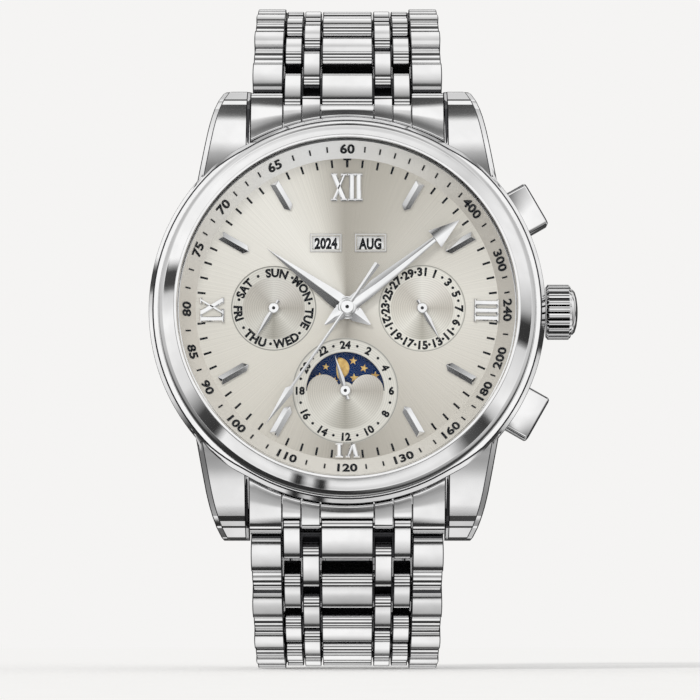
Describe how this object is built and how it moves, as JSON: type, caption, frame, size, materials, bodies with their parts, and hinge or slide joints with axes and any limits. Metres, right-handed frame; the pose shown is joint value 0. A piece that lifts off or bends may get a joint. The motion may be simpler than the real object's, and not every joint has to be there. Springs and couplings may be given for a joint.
{
  "type": "wristwatch",
  "caption": "Steel wristwatch with a calendar dial, moon phase, three small hands, two pushers, fluted crown and a closed link bracelet with a folding clasp.",
  "frame": {"origin": "centre of the flat outer face of the case back", "axes": "+Y from the dial to the wrist along the case back's outward normal, +Z to 12 o'clock, +X to the crown"},
  "size_m": [0.0455, 0.0597, 0.0774],
  "materials": {
    "brushed_steel": "brushed, inner columns polished",
    "polished_steel": "mirror polished",
    "sapphire": "clear",
    "dial_silver": "silvered with a sunburst brush",
    "chapter_silver": "silvered and printed",
    "calendar_print": "matt white with black print",
    "night_sky": "blue lacquer with gold moons and stars",
    "movement_metal": "nickel plated",
    "balance_gold": "gilt",
    "seal_rubber": "soft black"
  },
  "bodies": {
    "head": {"case_middle": "brushed_steel", "bezel": "polished_steel", "crystal": "sapphire", "chapter_ring": "chapter_silver", "dial": "dial_silver", "hour_markers": "polished_steel", "hour_numerals": "polished_steel", "main_plate": "movement_metal", "train_bridge": "movement_metal", "bridge_screws": "polished_steel", "balance_cock": "movement_metal", "case_back": "brushed_steel", "back_gasket": "seal_rubber", "crown_tube": "polished_steel", "pusher_tubes": "polished_steel", "pusher_spring_upper": "polished_steel", "pusher_spring_lower": "polished_steel", "end_link_upper": "brushed_steel", "end_link_lower": "brushed_steel", "spring_bars": "polished_steel"},
    "hour_hand": {"hour_hand": "polished_steel"},
    "minute_hand": {"minute_hand": "polished_steel"},
    "seconds_hand": {"seconds_hand": "polished_steel"},
    "weekday_hand": {"weekday_hand": "polished_steel"},
    "date_hand": {"date_hand": "polished_steel"},
    "day_hour_hand": {"day_hour_hand": "polished_steel"},
    "moon_disc": {"moon_disc": "night_sky"},
    "month_disc": {"month_disc": "calendar_print"},
    "year_disc": {"year_disc": "calendar_print"},
    "rotor": {"rotor": "movement_metal"},
    "balance_wheel": {"balance_wheel": "balance_gold"},
    "setting_lever": {"setting_lever": "polished_steel"},
    "crown": {"crown": "polished_steel"},
    "pusher_upper": {"pusher_upper": "polished_steel"},
    "pusher_lower": {"pusher_lower": "polished_steel"},
    "upper_link_1": {"upper_link_1": "brushed_steel"},
    "upper_link_2": {"upper_link_2": "brushed_steel"},
    "upper_link_3": {"upper_link_3": "brushed_steel"},
    "upper_link_4": {"upper_link_4": "brushed_steel"},
    "upper_link_5": {"upper_link_5": "brushed_steel"},
    "upper_link_6": {"upper_link_6": "brushed_steel"},
    "upper_link_7": {"upper_link_7": "brushed_steel"},
    "upper_link_8": {"upper_link_8": "brushed_steel"},
    "upper_link_9": {"upper_link_9": "brushed_steel"},
    "lower_link_1": {"lower_link_1": "brushed_steel"},
    "lower_link_2": {"lower_link_2": "brushed_steel"},
    "lower_link_3": {"lower_link_3": "brushed_steel"},
    "lower_link_4": {"lower_link_4": "brushed_steel"},
    "lower_link_5": {"lower_link_5": "brushed_steel"},
    "lower_link_6": {"lower_link_6": "brushed_steel"},
    "lower_link_7": {"lower_link_7": "brushed_steel"},
    "lower_link_8": {"lower_link_8": "brushed_steel"},
    "lower_link_9": {"lower_link_9": "brushed_steel"},
    "clasp_cover": {"clasp_cover": "brushed_steel"},
    "clasp_blade_long": {"clasp_blade_long": "polished_steel"},
    "clasp_blade_short": {"clasp_blade_short": "polished_steel"},
    "clasp_button_right": {"clasp_button_right": "polished_steel"},
    "clasp_button_left": {"clasp_button_left": "polished_steel"}
  },
  "joints": [
    {"name": "minute_turn", "type": "hinge", "parent": "head", "child": "minute_hand", "pos_m": [0, -0.0084, 0], "axis": [0, 1, 0], "continuous": true},
    {"name": "hour_turn", "type": "hinge", "parent": "head", "child": "hour_hand", "pos_m": [0, -0.0084, 0], "axis": [0, 1, 0], "continuous": true},
    {"name": "seconds_turn", "type": "hinge", "parent": "head", "child": "seconds_hand", "pos_m": [0, -0.0084, 0], "axis": [0, 1, 0], "continuous": true},
    {"name": "weekday_turn", "type": "hinge", "parent": "head", "child": "weekday_hand", "pos_m": [-0.0079, -0.0084, 0], "axis": [0, 1, 0], "continuous": true},
    {"name": "date_turn", "type": "hinge", "parent": "head", "child": "date_hand", "pos_m": [0.00806, -0.0084, 0], "axis": [0, 1, 0], "continuous": true},
    {"name": "day_hour_turn", "type": "hinge", "parent": "head", "child": "day_hour_hand", "pos_m": [-0.0002, -0.0084, -0.0089], "axis": [0, 1, 0], "continuous": true},
    {"name": "moon_turn", "type": "hinge", "parent": "head", "child": "moon_disc", "pos_m": [-0.0002, -0.0072, -0.0089], "axis": [0, 1, 0], "continuous": true},
    {"name": "month_turn", "type": "hinge", "parent": "head", "child": "month_disc", "pos_m": [0.00252, -0.0072, 0.0106], "axis": [0, 1, 0], "continuous": true},
    {"name": "year_turn", "type": "hinge", "parent": "head", "child": "year_disc", "pos_m": [-0.0023, -0.0072, 0.0106], "axis": [0, 1, 0], "continuous": true},
    {"name": "rotor_turn", "type": "hinge", "parent": "head", "child": "rotor", "pos_m": [0, -0.00215, 0], "axis": [0, 1, 0], "continuous": true},
    {"name": "balance_swing", "type": "hinge", "parent": "head", "child": "balance_wheel", "pos_m": [-0.0076, -0.00335, 0.0062], "axis": [0, 1, 0], "range_deg": [-150, 150]},
    {"name": "crown_pull", "type": "slide", "parent": "head", "child": "setting_lever", "axis": [1, 0, 0], "range_m": [0, 0.001]},
    {"name": "crown_turn", "type": "hinge", "parent": "setting_lever", "child": "crown", "pos_m": [0.0214, -0.005, 0], "axis": [1, 0, 0], "continuous": true},
    {"name": "pusher_upper_press", "type": "slide", "parent": "head", "child": "pusher_upper", "axis": [-0.8678, 0, -0.497], "range_m": [0, 0.0008], "stiffness_N_per_m": 250, "springref_m": -0.0004, "deforming": ["pusher_spring_upper"]},
    {"name": "pusher_lower_press", "type": "slide", "parent": "head", "child": "pusher_lower", "axis": [-0.8678, 0, 0.497], "range_m": [0, 0.0008], "stiffness_N_per_m": 250, "springref_m": -0.0004, "deforming": ["pusher_spring_lower"]},
    {"name": "upper_hinge_1", "type": "hinge", "parent": "head", "child": "upper_link_1", "pos_m": [0, -0.0052, 0.0225], "axis": [1, 0, 0], "range_deg": [0, 27]},
    {"name": "upper_hinge_2", "type": "hinge", "parent": "upper_link_1", "child": "upper_link_2", "pos_m": [0, -0.00075, 0.02841], "axis": [1, 0, 0], "range_deg": [0, 19]},
    {"name": "upper_hinge_3", "type": "hinge", "parent": "upper_link_2", "child": "upper_link_3", "pos_m": [0, 0.00524, 0.03276], "axis": [1, 0, 0], "range_deg": [0, 14]},
    {"name": "upper_hinge_4", "type": "hinge", "parent": "upper_link_3", "child": "upper_link_4", "pos_m": [0, 0.012, 0.03577], "axis": [1, 0, 0], "range_deg": [0, 16]},
    {"name": "upper_hinge_5", "type": "hinge", "parent": "upper_link_4", "child": "upper_link_5", "pos_m": [0, 0.01929, 0.03705], "axis": [1, 0, 0], "range_deg": [0, 17]},
    {"name": "upper_hinge_6", "type": "hinge", "parent": "upper_link_5", "child": "upper_link_6", "pos_m": [0, 0.02666, 0.03641], "axis": [1, 0, 0], "range_deg": [0, 18]},
    {"name": "upper_hinge_7", "type": "hinge", "parent": "upper_link_6", "child": "upper_link_7", "pos_m": [0, 0.03357, 0.03376], "axis": [1, 0, 0], "range_deg": [0, 18]},
    {"name": "upper_hinge_8", "type": "hinge", "parent": "upper_link_7", "child": "upper_link_8", "pos_m": [0, 0.03948, 0.0293], "axis": [1, 0, 0], "range_deg": [0, 20]},
    {"name": "upper_hinge_9", "type": "hinge", "parent": "upper_link_8", "child": "upper_link_9", "pos_m": [0, 0.04372, 0.02324], "axis": [1, 0, 0], "range_deg": [0, 20]},
    {"name": "lower_hinge_1", "type": "hinge", "parent": "head", "child": "lower_link_1", "pos_m": [0, -0.0052, -0.0225], "axis": [-1, 0, 0], "range_deg": [0, 27]},
    {"name": "lower_hinge_2", "type": "hinge", "parent": "lower_link_1", "child": "lower_link_2", "pos_m": [0, -0.00075, -0.02841], "axis": [-1, 0, 0], "range_deg": [0, 19]},
    {"name": "lower_hinge_3", "type": "hinge", "parent": "lower_link_2", "child": "lower_link_3", "pos_m": [0, 0.00524, -0.03276], "axis": [-1, 0, 0], "range_deg": [0, 14]},
    {"name": "lower_hinge_4", "type": "hinge", "parent": "lower_link_3", "child": "lower_link_4", "pos_m": [0, 0.012, -0.03577], "axis": [-1, 0, 0], "range_deg": [0, 16]},
    {"name": "lower_hinge_5", "type": "hinge", "parent": "lower_link_4", "child": "lower_link_5", "pos_m": [0, 0.01929, -0.03705], "axis": [-1, 0, 0], "range_deg": [0, 17]},
    {"name": "lower_hinge_6", "type": "hinge", "parent": "lower_link_5", "child": "lower_link_6", "pos_m": [0, 0.02666, -0.03641], "axis": [-1, 0, 0], "range_deg": [0, 18]},
    {"name": "lower_hinge_7", "type": "hinge", "parent": "lower_link_6", "child": "lower_link_7", "pos_m": [0, 0.03357, -0.03376], "axis": [-1, 0, 0], "range_deg": [0, 18]},
    {"name": "lower_hinge_8", "type": "hinge", "parent": "lower_link_7", "child": "lower_link_8", "pos_m": [0, 0.03948, -0.0293], "axis": [-1, 0, 0], "range_deg": [0, 20]},
    {"name": "lower_hinge_9", "type": "hinge", "parent": "lower_link_8", "child": "lower_link_9", "pos_m": [0, 0.04372, -0.02324], "axis": [-1, 0, 0], "range_deg": [0, 20]},
    {"name": "clasp_hinge", "type": "hinge", "parent": "upper_link_9", "child": "clasp_cover", "pos_m": [0, 0.04589, 0.01617], "axis": [1, 0, 0], "range_deg": [0, 19]},
    {"name": "long_blade_hinge", "type": "hinge", "parent": "clasp_cover", "child": "clasp_blade_long", "pos_m": [0, 0.04589, -0.01257], "axis": [1, 0, 0], "range_deg": [0, 80]},
    {"name": "short_blade_hinge", "type": "hinge", "parent": "clasp_blade_long", "child": "clasp_blade_short", "pos_m": [0, 0.04494, 0.01017], "axis": [-1, 0, 0], "range_deg": [0, 90]},
    {"name": "clasp_button_right_press", "type": "slide", "parent": "clasp_cover", "child": "clasp_button_right", "axis": [-1, 0, 0], "range_m": [0, 0.0007], "stiffness_N_per_m": 250, "springref_m": -0.0004},
    {"name": "clasp_button_left_press", "type": "slide", "parent": "clasp_cover", "child": "clasp_button_left", "axis": [1, 0, 0], "range_m": [0, 0.0007], "stiffness_N_per_m": 250, "springref_m": -0.0004}
  ],
  "couplings": [
    {"joint": "hour_turn", "follows": "minute_turn", "ratio": 0.083333},
    {"joint": "day_hour_turn", "follows": "minute_turn", "ratio": 0.041667},
    {"joint": "weekday_turn", "follows": "minute_turn", "ratio": 0.0059524},
    {"joint": "date_turn", "follows": "minute_turn", "ratio": 0.0013441},
    {"joint": "moon_turn", "follows": "minute_turn", "ratio": 0.00070547},
    {"joint": "seconds_turn", "follows": "minute_turn", "ratio": 60}
  ]
}
